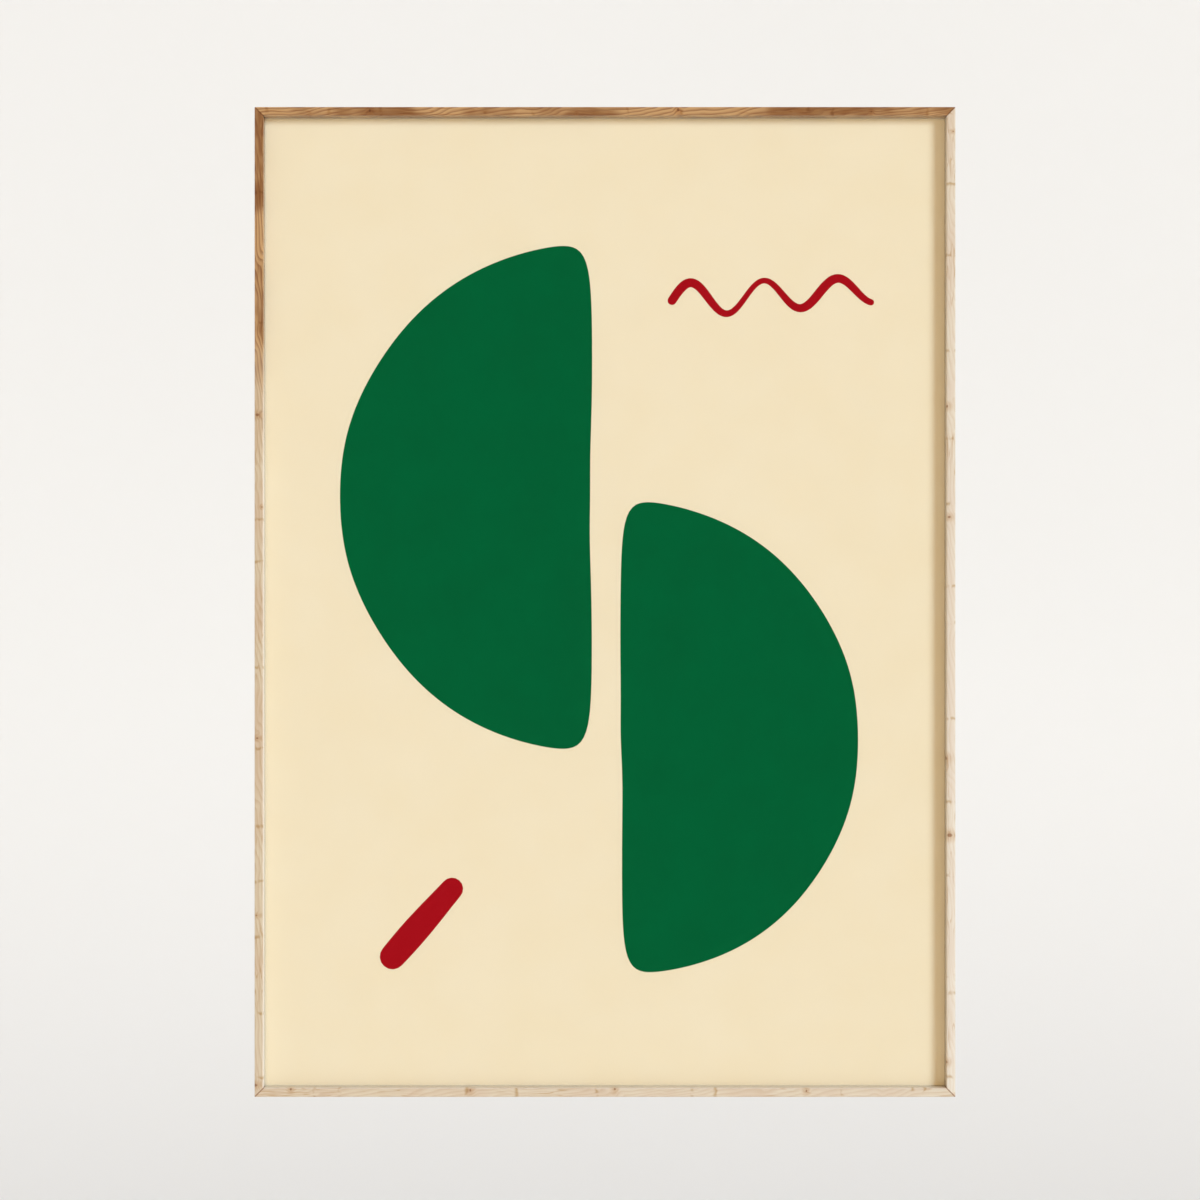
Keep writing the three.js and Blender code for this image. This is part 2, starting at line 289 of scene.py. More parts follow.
def lacquered_pine():
    """Knotty pine, cut smooth with a plane and sealed with a thin satin lacquer.

    It gives the eye pale yellow sapwood whose late wood lines lean across the narrow face, pin knots with a
    brown halo, smudges across the grain, and a sheen that is strong where a face is seen along its length. At
    tone 1 the wood is honey-brown heartwood, at 0 plain sapwood, and at -1 the palest sapwood. The rails'
    tones make the upper frame browner, partly the wood's own tone and partly painted shade, and the lip's
    inner face is painted paler as a painted highlight.
    """
    ring_pitch = 3.6 * MM       # real rings are 1 to 4 mm apart
    ring_reach = 24 * MM        # how far the rings wander sideways over one swirl
    ring_slant = 0.55           # how far the rings shift in going from front to back
    ring_lean = 0.16            # and in going along the rail, because the plank's grain runs out at its edge
    knot_pitch = 140 * MM       # pin knots, one every hand or so
    knot_across, knot_along = 2.3 * MM, 1.7 * MM
    knot_from, knot_to = -10 * MM, -1 * MM      # where its middle would lie at the rail's back
    knot_lean = 0.5             # how far a knot moves inwards in going from back to front
    knot_push = 3 * MM          # how far it pushes the rings aside
    smudge_pitch = 64 * MM      # brown smudges across the grain, each bent a little
    smudge_width, smudge_bend = 2.4 * MM, 5 * MM
    smudge_end, smudge_fade = 9 * MM, 2 * MM    # how far behind the front they end, and start to fade
    relief = 0.08 * MM

    material, tree = new_material("lacquered_knotty_pine")
    grain = add(tree, "ShaderNodeAttribute", {"attribute_name": "grain"}).outputs["Vector"]
    tone = add(tree, "ShaderNodeAttribute", {"attribute_name": "tone"}).outputs["Fac"]
    parts = add(tree, "ShaderNodeSeparateXYZ", {}, {0: grain}).outputs

    # Noise by the size of its features across and along the grain. Real fibres are finer than 1 mm
    noise = {}
    for name, across, along, detail, distortion in (
            ("swirl", 26 * MM, 66 * MM, 2.0, 0.5),
            ("fibre", 1.0 * MM, 20 * MM, 3.0, 0.0),
            ("patch", 30 * MM, 46 * MM, 2.0, 0.0),
            ("broken", 5 * MM, 9 * MM, 1.0, 0.0),
            ("wander", 2.6 * MM, 46 * MM, 1.0, 0.25),
            ("stretch", 60 * MM, 90 * MM, 0.0, 0.0)):
        stretched = add(tree, "ShaderNodeMapping", {}, {
            "Vector": grain, "Location": (3.1 * len(noise),) * 3,
            "Scale": (1 / across, 1 / across, 1 / along)})
        noise[name] = add(tree, "ShaderNodeTexNoise", {}, {
            "Vector": stretched, "Scale": 1.0, "Detail": detail, "Distortion": distortion}).outputs[0]

    # Pin knots sit at random places along the rail, each at its own distance from the edge
    along = add(tree, "ShaderNodeMath", {"operation": "DIVIDE"}, {0: parts["Z"], 1: knot_pitch})
    cells = add(tree, "ShaderNodeTexVoronoi", {"voronoi_dimensions": "1D"},
                {"W": along, "Scale": 1.0}).outputs
    chance = add(tree, "ShaderNodeSeparateColor", {}, {0: cells["Color"]}).outputs
    height = add(tree, "ShaderNodeMath", {"operation": "MULTIPLY"},
                 {0: cells["Distance"], 1: knot_pitch / knot_along})
    centre = add(tree, "ShaderNodeMapRange", {}, {"Value": chance[0], "To Min": knot_from, "To Max": knot_to})
    leaning = add(tree, "ShaderNodeMath", {"operation": "MULTIPLY_ADD"},
                  {0: parts["Y"], 1: knot_lean, 2: parts["X"]})
    offset = add(tree, "ShaderNodeMath", {"operation": "SUBTRACT"}, {0: leaning, 1: centre})
    sideways = add(tree, "ShaderNodeMath", {"operation": "DIVIDE"}, {0: offset, 1: knot_across})
    radii = add(tree, "ShaderNodeCombineXYZ", {}, {"X": height, "Y": sideways})
    distance = add(tree, "ShaderNodeVectorMath", {"operation": "LENGTH"}, {0: radii}).outputs["Value"]
    rough = add(tree, "ShaderNodeMath", {"operation": "MULTIPLY_ADD"},
                {0: noise["broken"], 1: 0.9, 2: distance})
    size = add(tree, "ShaderNodeMapRange", {}, {"Value": chance[1], "To Min": 0.6, "To Max": 1.6})
    reach = add(tree, "ShaderNodeMath", {"operation": "DIVIDE"}, {0: rough, 1: size})
    knot = add(tree, "ShaderNodeMapRange", SMOOTH, {"Value": reach, "From Min": 1.1, "From Max": 0.7})
    halo = add(tree, "ShaderNodeMapRange", SMOOTH, {"Value": reach, "From Min": 3.6, "From Max": 0.8})

    # Rings: slanted layers that swirl and are pushed aside by knots. Each darkens slowly and ends sharply
    slant = add(tree, "ShaderNodeMath", {"operation": "MULTIPLY_ADD"},
                {0: parts["Y"], 1: ring_slant, 2: parts["X"]})
    lean = add(tree, "ShaderNodeMath", {"operation": "MULTIPLY_ADD"},
               {0: parts["Z"], 1: ring_lean, 2: slant})
    swirl = add(tree, "ShaderNodeMath", {"operation": "MULTIPLY_ADD"},
                {0: noise["swirl"], 1: ring_reach, 2: lean})
    pushed = add(tree, "ShaderNodeMath", {"operation": "MULTIPLY_ADD"}, {0: halo, 1: knot_push, 2: swirl})
    rings = add(tree, "ShaderNodeMath", {"operation": "DIVIDE"}, {0: pushed, 1: ring_pitch})
    growth = add(tree, "ShaderNodeMath", {"operation": "FRACT"}, {0: rings})
    late = add(tree, "ShaderNodeMapRange", SMOOTH, {"Value": growth, "From Min": 0.25, "From Max": 0.92})
    sharp_end = add(tree, "ShaderNodeMapRange", SMOOTH, {"Value": growth, "From Min": 1.0, "From Max": 0.9})
    late_wood = add(tree, "ShaderNodeMath", {"operation": "MULTIPLY"}, {0: late, 1: sharp_end})

    # Smudges across the face's grain, each bent and broken off part of the way over
    bent = add(tree, "ShaderNodeMath", {"operation": "MULTIPLY_ADD"},
               {0: noise["broken"], 1: smudge_bend, 2: parts["Z"]})
    place = add(tree, "ShaderNodeMath", {"operation": "DIVIDE"}, {0: bent, 1: smudge_pitch})
    smudges = add(tree, "ShaderNodeTexVoronoi", {"voronoi_dimensions": "1D"}, {"W": place, "Scale": 1.0})
    line = add(tree, "ShaderNodeMapRange", SMOOTH, {
        "Value": smudges.outputs["Distance"], "From Min": smudge_width / smudge_pitch, "From Max": 0.0})
    kept = add(tree, "ShaderNodeMapRange", SMOOTH,
               {"Value": noise["broken"], "From Min": 0.40, "From Max": 0.60})
    broken = add(tree, "ShaderNodeMath", {"operation": "MULTIPLY"}, {0: line, 1: kept})
    near_front = add(tree, "ShaderNodeMapRange", SMOOTH, {
        "Value": parts["Y"], "From Min": FRONT_Y + smudge_end, "From Max": FRONT_Y + smudge_fade})
    smudge = add(tree, "ShaderNodeMath", {"operation": "MULTIPLY"}, {0: broken, 1: near_front})

    # Thin resin streaks along the grain, in some stretches only
    middle = add(tree, "ShaderNodeMath", {"operation": "SUBTRACT"}, {0: noise["wander"], 1: 0.5})
    apart = add(tree, "ShaderNodeMath", {"operation": "ABSOLUTE"}, {0: middle})
    thread = add(tree, "ShaderNodeMapRange", SMOOTH, {"Value": apart, "From Min": 0.03, "From Max": 0.005})
    where = add(tree, "ShaderNodeMapRange", SMOOTH,
                {"Value": noise["stretch"], "From Min": 0.52, "From Max": 0.60})
    resin = add(tree, "ShaderNodeMath", {"operation": "MULTIPLY"}, {0: thread, 1: where})

    # The woods: two base tints in patches, then late wood, then fibres
    patches = add(tree, "ShaderNodeMapRange", SMOOTH,
                  {"Value": noise["patch"], "From Min": 0.40, "From Max": 0.62})
    fibres = add(tree, "ShaderNodeMapRange", SMOOTH,
                 {"Value": noise["fibre"], "From Min": 0.35, "From Max": 0.70})
    woods = {}
    for name, tints, late_stain, late_share, fibre_stain, fibre_share in (
            ("palest", ("#E5DDCE", "#E2D7C8"), "#D5C2A6", 0.36, "#D9CAB4", 0.25),
            ("sapwood", ("#D6C7AC", "#D1BCA1"), "#B39067", 0.38, "#C2A47F", 0.30),
            ("heartwood", ("#C49A6A", "#8A5A30"), "#703D1B", 0.70, "#C29D6D", 0.30)):
        wood = add(tree, "ShaderNodeMix", COLOUR,
                   {"Factor": patches, "A": srgb(tints[0]), "B": srgb(tints[1])})
        for mask, strength, stain in (
                (late_wood, late_share, late_stain), (fibres, fibre_share, fibre_stain)):
            share = add(tree, "ShaderNodeMath", {"operation": "MULTIPLY"}, {0: mask, 1: strength})
            wood = add(tree, "ShaderNodeMix", COLOUR, {"Factor": share, "A": wood, "B": srgb(stain)})
        woods[name] = wood
    # Tone picks the wood; the rails' tones brown the upper frame, partly as painted shade
    ragged = add(tree, "ShaderNodeMath", {"operation": "MULTIPLY_ADD"}, {0: noise["swirl"], 1: 0.35, 2: tone})
    paling = add(tree, "ShaderNodeMapRange", {}, {"Value": tone, "From Min": 0.0, "From Max": -1.0})
    heartwood_and_shade = add(tree, "ShaderNodeMapRange", SMOOTH, {"Value": ragged, "From Min": 0.80, "From Max": 1.08})
    colour = add(tree, "ShaderNodeMix", COLOUR,
                 {"Factor": paling, "A": woods["sapwood"], "B": woods["palest"]})
    colour = add(tree, "ShaderNodeMix", COLOUR,
                 {"Factor": heartwood_and_shade, "A": colour, "B": woods["heartwood"]})

    # Painted highlight: the lip's inner face is painted paler, less where the wood browns. Glue stains each
    # mitre's edges
    inner = add(tree, "ShaderNodeMapRange", SMOOTH,
                {"Value": parts["X"], "From Min": FACE - 0.6 * MM, "From Max": FACE - 0.1 * MM})
    sap = add(tree, "ShaderNodeMath", {"operation": "SUBTRACT"}, {0: 1.0, 1: heartwood_and_shade})
    painted_lip_highlight = add(tree, "ShaderNodeMath", {"operation": "MULTIPLY"}, {0: inner, 1: sap})
    ends = add(tree, "ShaderNodeAttribute", {"attribute_name": "ends"}).outputs["Vector"]
    sides = add(tree, "ShaderNodeSeparateXYZ", {}, {0: ends}).outputs
    nearer = add(tree, "ShaderNodeMath", {"operation": "MINIMUM"}, {0: sides["X"], 1: sides["Y"]})
    from_mitre = add(tree, "ShaderNodeMath", {"operation": "SUBTRACT"}, {0: nearer, 1: parts["X"]})
    joint = add(tree, "ShaderNodeMapRange", SMOOTH,
                {"Value": from_mitre, "From Min": MITRE_GAP + 0.9 * MM, "From Max": MITRE_GAP + 0.3 * MM})
    # The first mark is the painted highlight on the lip's inner face; the others are the wood's own marks and
    # glue
    for mask, strength, blend, tint in (
            (painted_lip_highlight, 0.75, "MIX", "#F4ECE1"), (smudge, 0.6, "MULTIPLY", "#C8A24E"),
            (resin, 0.5, "MULTIPLY", "#D3AE78"), (halo, 0.45, "MULTIPLY", "#D9B17A"),
            (knot, 0.72, "MULTIPLY", "#9F6D39"), (joint, 0.75, "MULTIPLY", "#AC7C54")):
        share = add(tree, "ShaderNodeMath", {"operation": "MULTIPLY"}, {0: mask, 1: strength})
        colour = add(tree, "ShaderNodeMix", {"data_type": "RGBA", "blend_type": blend},
                     {"Factor": share, "A": colour, "B": srgb(tint)})

    height = add(tree, "ShaderNodeMath", {"operation": "ADD"}, {0: fibres, 1: late_wood})
    bump = add(tree, "ShaderNodeBump", {}, {"Height": height, "Strength": 0.35, "Distance": relief})
    roughness = add(tree, "ShaderNodeMapRange", {}, {"Value": late_wood, "To Min": 0.56, "To Max": 0.45})
    lacquer = add(tree, "ShaderNodeBsdfPrincipled", {}, {
        "Base Color": colour, "Roughness": roughness, "Normal": bump, "IOR": 1.5,
        "Coat Weight": 0.8, "Coat Roughness": 0.14, "Coat IOR": 1.5})
    add(tree, "ShaderNodeOutputMaterial", {}, {"Surface": lacquer})
    return material


def float_glass():
    """Clear soda-lime float glass: it mirrors a little, more at a slant, and lets the rest through.

    The pane is thin and flat, so nothing seen through it is bent. How much it mirrors grows with the slant
    alike on both sides of a face, because light leaves the pane straight too.
    """
    wipe_size = 90 * MM
    square_on = 0.035           # what one face of glass mirrors square on
    material, tree = new_material("clear_float_glass")
    place = add(tree, "ShaderNodeTexCoord").outputs["Object"]
    wiped = add(tree, "ShaderNodeTexNoise", {}, {
        "Vector": place, "Scale": 1 / wipe_size, "Detail": 3.0, "Distortion": 1.5})
    roughness = add(tree, "ShaderNodeMapRange", {}, {
        "Value": wiped, "From Min": 0.35, "From Max": 0.7, "To Min": 0.015, "To Max": 0.045})
    clear = add(tree, "ShaderNodeBsdfTransparent", {}, {"Color": srgb("#FEFFFE")})
    mirror = add(tree, "ShaderNodeBsdfGlossy", {}, {"Color": srgb("#FFFFFF"), "Roughness": roughness})
    slant = add(tree, "ShaderNodeLayerWeight", {}, {"Blend": 0.5}).outputs["Facing"]
    steep = add(tree, "ShaderNodeMath", {"operation": "POWER"}, {0: slant, 1: 5.0})
    share = add(tree, "ShaderNodeMapRange", {}, {"Value": steep, "To Min": square_on, "To Max": 1.0})
    mixed = add(tree, "ShaderNodeMixShader", {}, {0: share, 1: clear, 2: mirror})
    add(tree, "ShaderNodeOutputMaterial", {}, {"Surface": mixed})
    return material


def printed_paper(name, colour, mottled):
    """Matt art paper with a flat pigment ink: no shine, a fine tooth and a very slight mottle in the ink."""
    tooth_size = 3 * MM         # paper's tooth is nearer 0.3 mm, drawn coarser so that it shows
    mottle_size = 45 * MM
    material, tree = new_material(name)
    place = add(tree, "ShaderNodeTexCoord").outputs["Object"]
    mottle = add(tree, "ShaderNodeTexNoise", {}, {"Vector": place, "Scale": 1 / mottle_size, "Detail": 4.0})
    share = add(tree, "ShaderNodeMapRange", {}, {"Value": mottle, "From Min": 0.3, "From Max": 0.7})
    ink = add(tree, "ShaderNodeMix", COLOUR, {"Factor": share, "A": srgb(colour), "B": srgb(mottled)})
    tooth = add(tree, "ShaderNodeTexNoise", {}, {"Vector": place, "Scale": 1 / tooth_size, "Detail": 2.0})
    bump = add(tree, "ShaderNodeBump", {}, {"Height": tooth, "Strength": 0.03, "Distance": 0.05 * MM})
    sheet = add(tree, "ShaderNodeBsdfPrincipled", {}, {
        "Base Color": ink, "Roughness": 0.9, "Specular IOR Level": 0.12, "Normal": bump})
    add(tree, "ShaderNodeOutputMaterial", {}, {"Surface": sheet})
    return material


def fibreboard():
    """Medium density fibreboard with a sanded face: warm brown, with short dark fibres laid every way."""
    fibre_length, fibre_width = 5 * MM, 1.1 * MM        # real fibres are much finer, these are bundles
    clouds_per_metre = 9.0
    material, tree = new_material("sanded_fibreboard")
    place = add(tree, "ShaderNodeTexCoord").outputs["Object"]
    mat = 0.0
    for turn in (0.5, 1.9, 2.7):
        laid = add(tree, "ShaderNodeMapping", {"vector_type": "TEXTURE"}, {
            "Vector": place, "Rotation": (0, turn, 0), "Scale": (fibre_length, fibre_width, fibre_width)})
        fibres = add(tree, "ShaderNodeTexNoise", {}, {"Vector": laid, "Scale": 1.0, "Detail": 2.0})
        mat = add(tree, "ShaderNodeMath", {"operation": "ADD"}, {0: fibres, 1: mat})
    cloud = add(tree, "ShaderNodeTexNoise", {}, {"Vector": place, "Scale": clouds_per_metre, "Detail": 3.0})
    share = add(tree, "ShaderNodeMapRange", {}, {"Value": mat, "From Min": 1.15, "From Max": 1.85})
    pale = add(tree, "ShaderNodeMix", COLOUR, {"Factor": cloud, "A": srgb("#9C7A5A"), "B": srgb("#AC8B68")})
    dark = add(tree, "ShaderNodeMix", COLOUR, {"Factor": 0.45, "A": pale, "B": srgb("#795C43")})
    colour = add(tree, "ShaderNodeMix", COLOUR, {"Factor": share, "A": dark, "B": pale})
    bump = add(tree, "ShaderNodeBump", {}, {"Height": mat, "Strength": 0.3, "Distance": 0.06 * MM})
    board = add(tree, "ShaderNodeBsdfPrincipled", {}, {
        "Base Color": colour, "Roughness": 0.82, "Specular IOR Level": 0.3, "Normal": bump})
    add(tree, "ShaderNodeOutputMaterial", {}, {"Surface": board})
    return material


def steel_strip(name, bright, dull, roughness, spangle, crystal_share, streak):
    """Rolled or plated steel strip, from the size of its crystals, how much they show, and the width of its
    rolling lines."""
    material, tree = new_material(name)
    place = add(tree, "ShaderNodeTexCoord").outputs["Object"]
    crystals = add(tree, "ShaderNodeTexVoronoi", {}, {"Vector": place, "Scale": 1 / spangle})
    grey = add(tree, "ShaderNodeRGBToBW", {}, {0: crystals.outputs["Color"]})
    rolled = add(tree, "ShaderNodeMapping", {}, {
        "Vector": place, "Scale": (0.1 / streak, 1 / streak, 1 / streak)})
    lines = add(tree, "ShaderNodeTexNoise", {}, {"Vector": rolled, "Scale": 1.0, "Detail": 3.0})
    both = add(tree, "ShaderNodeMix", {"data_type": "FLOAT"},
               {"Factor": crystal_share, "A": lines, "B": grey})
    share = add(tree, "ShaderNodeMapRange", {}, {"Value": both, "From Min": 0.3, "From Max": 0.7})
    colour = add(tree, "ShaderNodeMix", COLOUR, {"Factor": share, "A": srgb(dull), "B": srgb(bright)})
    dulled = add(tree, "ShaderNodeMapRange", {}, {
        "Value": both, "From Min": 0.3, "From Max": 0.7, "To Min": roughness + 0.12, "To Max": roughness})
    bump = add(tree, "ShaderNodeBump", {}, {"Height": lines, "Strength": 0.15, "Distance": 0.02 * MM})
    metal = add(tree, "ShaderNodeBsdfPrincipled", {}, {
        "Base Color": colour, "Metallic": 1.0, "Roughness": dulled, "Normal": bump})
    add(tree, "ShaderNodeOutputMaterial", {}, {"Surface": metal})
    return material


PINE = lacquered_pine()
GLASS = float_glass()
CREAM = printed_paper("cream_ground_ink_on_art_paper", "#F2E3C9", "#F1E1C5")
GREEN = printed_paper("bottle_green_ink_on_art_paper", "#006237", "#015F35")
RED = printed_paper("brick_red_ink_on_art_paper", "#AA0F1C", "#A50C18")
FIBREBOARD = fibreboard()
# Bright rolled spring steel: blue-grey, with fine rolling lines
SPRING_STEEL = steel_strip("rolled_spring_steel", "#A6A8AA", "#84878A", 0.34, 5 * MM, 0.0, 0.5 * MM)
# Zinc-plated mild steel: paler and milkier, with a faint clouding from the plating
ZINC = steel_strip("zinc_plated_steel", "#C9CAC6", "#B4B6B3", 0.32, 1.6 * MM, 0.35, 0.6 * MM)


# The four rails

# The top rail's heartwood and the darker upper ends of the side rails are partly the wood's own tone and
# partly painted shade
RAILS = {
    # side: turn about Y, outer face (x, z), tone at its start and end, where on the plank it was cut
    "left": (0.0, (FRAME_LOW.x, FRAME_CENTRE.z), (-0.15, 1.15), 0.0),
    "right": (math.pi, (FRAME_HIGH.x, FRAME_CENTRE.z), (-0.5, -1.05), 2.1),
    "bottom": (-math.pi / 2, (FRAME_CENTRE.x, FRAME_LOW.z), (-0.48, -0.14), 4.3),
    "top": (math.pi / 2, (FRAME_CENTRE.x, FRAME_HIGH.z), (1.1, 1.1), 6.4),
}


def section_mesh():
    """The moulding's section as a closed outline, with how far each corner is eased."""
    corners = [
        (0, BACK_Y, BACK_ARRIS),
        (0, FRONT_Y, FRONT_ARRIS),
        (FACE, FRONT_Y, FRONT_ARRIS),
        (FACE, FRONT_Y + LIP, BACK_ARRIS),
        (WALL, FRONT_Y + LIP, BACK_ARRIS),
        (WALL, BACK_Y, BACK_ARRIS),
    ]
    count = len(corners)
    mesh = mesh_from("moulding_section", [(x, y, 0) for x, y, _ in corners], [],
                     [(i, (i + 1) % count) for i in range(count)])
    arris = mesh.attributes.new("arris", "FLOAT", "POINT")
    for item, (_, _, radius) in zip(arris.data, corners):
        item.value = radius
    return mesh


def cutters_for(nodes, to_rail):
    """What is driven into a rail, as boxes in the rail's own frame, with hardly any room round them."""
    shape = bmesh.new()
    for node in nodes:
        room = Vector((DRIVEN_ROOM,) * 3)
        ends = [to_rail @ corner for corner in (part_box(node)[0] - room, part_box(node)[1] + room)]
        size = Vector(abs(a - b) for a, b in zip(*ends))
        place = Matrix.Translation((ends[0] + ends[1]) / 2) @ Matrix.Diagonal((*size, 1))
        bmesh.ops.create_cube(shape, size=1.0, matrix=place)
    mesh = bpy.data.meshes.new("cutters")
    shape.to_mesh(mesh)
    shape.free()
    return new_piece("cutters", mesh)


def make_rails():
    """Each rail is the same moulding, at its own length, turn and cut of the plank."""
    tree = moulding_tree()
    size = FRAME_HIGH - FRAME_LOW
    for side, (turn, (x, z), tones, cut_from) in RAILS.items():
        place = Vector((x, 0, z))
        to_rail = (Matrix.Translation(place) @ Matrix.Rotation(turn, 4, "Y")).inverted()
        cutters = cutters_for([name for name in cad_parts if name.startswith("tab_" + side)], to_rail)
        rail = new_piece("pine_rail_" + side, section_mesh())
        length = size.z if side in ("left", "right") else size.x
        run_tree(rail, tree, {
            "Length": length, "Mitre gap": MITRE_GAP, "Cutters": cutters,
            "Turn": turn, "Place": place, "Cut from": cut_from,
            "Tone at start": tones[0], "Tone at end": tones[1], "Wood": PINE,
        })
        bpy.data.objects.remove(cutters)
        seat(rail, "pale_wood", "rail_" + side)


# Glazing, print and board

def eased_copy(node, name, width, material):
    """A CAD solid's own shape with its loose triangles joined and its edges eased."""
    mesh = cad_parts[node].data.copy()
    mesh.materials.clear()
    shape = bmesh.new()
    shape.from_mesh(mesh)
    bmesh.ops.remove_doubles(shape, verts=shape.verts, dist=1e-6)
    bmesh.ops.dissolve_limit(shape, angle_limit=math.radians(1), verts=shape.verts, edges=shape.edges)
    sharp = [edge for edge in shape.edges if edge.calc_face_angle(0) > math.radians(50)]
    bmesh.ops.bevel(shape, geom=sharp, offset=width, segments=2, profile=0.5, affect="EDGES")
    shape.to_mesh(mesh)
    shape.free()
    return new_piece(name, mesh, [material])


def polar_outline(centre, radius_at, count, turn=0.0):
    """A closed outline round a centre, from the radius at each angle, turned as a whole."""
    steps = [2 * math.pi * i / count for i in range(count)]
    return [(centre[0] + radius_at(a) * math.cos(a + turn), centre[1] + radius_at(a) * math.sin(a + turn))
            for a in steps]


def half_disc(radius, rise, phase, softness=10, wobble=0.008):
    """A half disc cut freehand, as radii from a point that is rise above the middle of its flat side."""
    def radius_at(angle):
        up = rise * math.sin(angle)
        to_arc = -up + math.sqrt(up * up + radius * radius - rise * rise)
        to_flat = rise / max(-math.sin(angle), 1e-3)
        waves = math.sin(2 * angle + phase) + 0.6 * math.sin(3 * angle + 2.1 * phase)
        uneven = 1 + wobble * (waves + 0.35 * math.sin(7 * angle))
        return uneven * (to_arc ** -softness + to_flat ** -softness) ** (-1 / softness)
    return radius_at


def stroke_outline(line_at, width_at, count):
    """A round-ended stroke of changing width along a line, as a closed outline."""
    def frame_at(t):
        here, ahead = Vector(line_at(t)), Vector(line_at(t + 1e-3))
        along = (ahead - here).normalized()
        return here, along, Vector((-along.y, along.x)), width_at(t) / 2

    outline = []
    for sign, steps in ((1, range(count + 1)), (-1, range(count, -1, -1))):
        for step in steps:
            here, _, across, half = frame_at(step / count)
            outline.append(tuple(here + sign * half * across))
        here, along, across, half = frame_at(1.0 if sign > 0 else 0.0)
        for turn in (math.pi / 2 - math.pi * i / 8 for i in range(1, 8)):
            outline.append(tuple(here + sign * half * (math.cos(turn) * along + math.sin(turn) * across)))
    return outline


def inside(point, outline):
    """True if a point lies in a closed outline, by counting the sides to its right."""
    crossings = 0
    for (x0, y0), (x1, y1) in zip(outline, outline[1:] + outline[:1]):
        if (y0 > point[1]) != (y1 > point[1]):
            crossings += point[0] < x0 + (point[1] - y0) * (x1 - x0) / (y1 - y0)
    return crossings % 2 == 1


def triangulate(outlines, lines=()):
    """Flat faces that follow every outline and line: their corners, the faces and each face's middle."""
    flat, edges = [], []
    for ring, closed in [(ring, True) for ring in outlines] + [(line, False) for line in lines]:
        first = len(flat)
        flat += [Vector(p) for p in ring]
        last = len(ring) if closed else len(ring) - 1
        edges += [(first + i, first + (i + 1) % len(ring)) for i in range(last)]
    corners, _, faces, *_ = delaunay_2d_cdt(flat, edges, [], 0, 1e-7)
    faces = [list(face) for face in faces]
    return corners, faces, [sum((corners[i] for i in face), Vector((0, 0))) / len(face) for face in faces]


def print_shapes():
    """The sheet's shapes, from its centre: two half discs that slid past each other, a bar and a wave."""
    disc_steps, bar_steps, wave_steps = 360, 24, 90
    bar_x, bar_z, bar_length, bar_lean = -158 * MM, -276 * MM, 78 * MM, 0.72
    wave_x, wave_z, wave_length, wave_rise = 58 * MM, 262 * MM, 172 * MM, 9 * MM
    quarter = math.pi / 2

    def bar_line(t):
        at = (t - 0.5) * bar_length
        return (bar_x + at * math.sin(bar_lean), bar_z + at * math.cos(bar_lean))

    def wave_line(t):
        swing = (15 - 4 * t) * MM * math.sin(5.4 * math.pi * t)
        return (wave_x + wave_length * t, wave_z + swing + wave_rise * t)

    left = polar_outline((-98 * MM, 92 * MM), half_disc(218 * MM, 86 * MM, 1.7), disc_steps, quarter)
    right = polar_outline((96 * MM, -116 * MM), half_disc(206 * MM, 82 * MM, 0.3), disc_steps, -quarter)
    bar = stroke_outline(bar_line, lambda t: (21 + 2.4 * math.sin(3.4 * t + 0.5)) * MM, bar_steps)
    wave = stroke_outline(wave_line, lambda t: (6.4 + 1.6 * math.sin(9 * t + 1)) * MM, wave_steps)
    return [(GREEN, left), (GREEN, right), (RED, bar), (RED, wave)]


def printed_sheet():
    """The sheet with its shapes cut into its front face, so that every ink edge is sharp at any distance."""
    inks = [CREAM, GREEN, RED]
    middle = (PRINT_LOW + PRINT_HIGH) / 2
    half = (PRINT_HIGH - PRINT_LOW) / 2
    shapes = print_shapes()
    rim = [(-half.x, -half.z), (half.x, -half.z), (half.x, half.z), (-half.x, half.z)]
    corners, faces, centres = triangulate([rim] + [outline for _, outline in shapes])
    ink_of = [next((inks.index(ink) for ink, outline in shapes if inside(centre, outline)), 0)
              for centre in centres]
    count = len(corners)
    points = [(middle.x + p.x, PRINT_LOW.y, middle.z + p.y) for p in corners]
    points += [(middle.x + x, PRINT_HIGH.y, middle.z + z) for x, z in rim]
    at_rim = [min(range(count), key=lambda i: (corners[i] - Vector(p)).length) for p in rim]
    faces.append([count, count + 3, count + 2, count + 1])
    faces += [[at_rim[i], count + i, count + (i + 1) % 4, at_rim[(i + 1) % 4]] for i in range(4)]
    mesh = mesh_from("printed_sheet", points, faces)
    sheet = new_piece("printed_sheet", mesh, inks)
    mesh.polygons.foreach_set("material_index", ink_of + [0] * 5)
    close_up(mesh)
    return sheet


# Tabs, nails, hangers and rivets

def pressed_plate(name, outlines, thickness, press, folds=()):
    """A plate cut from strip and pressed. Its outlines lie in X and Z, and all but the first are holes. press
    gives how far its near face stands out along Y at each X, and folds are the places where that changes."""
    low = min(z for _, z in outlines[0])
    high = max(z for _, z in outlines[0])
    corners, faces, centres = triangulate(outlines, [[(x, low), (x, high)] for x in folds])
    kept = [face for face, centre in zip(faces, centres)
            if inside(centre, outlines[0]) and not any(inside(centre, hole) for hole in outlines[1:])]
    count = len(corners)
    near = [(p.x, press(p.x), p.y) for p in corners]
    far = [(x, y + thickness, z) for x, y, z in near]
    open_sides = {}
    for face in kept:
        for a, b in zip(face, face[1:] + face[:1]):
            if open_sides.pop((b, a), None) is None:
                open_sides[(a, b)] = True
    edge_faces = [[a, a + count, b + count, b] for a, b in open_sides]
    far_faces = [[i + count for i in face[::-1]] for face in kept]
    return close_up(mesh_from(name, near + far, kept + far_faces + edge_faces))


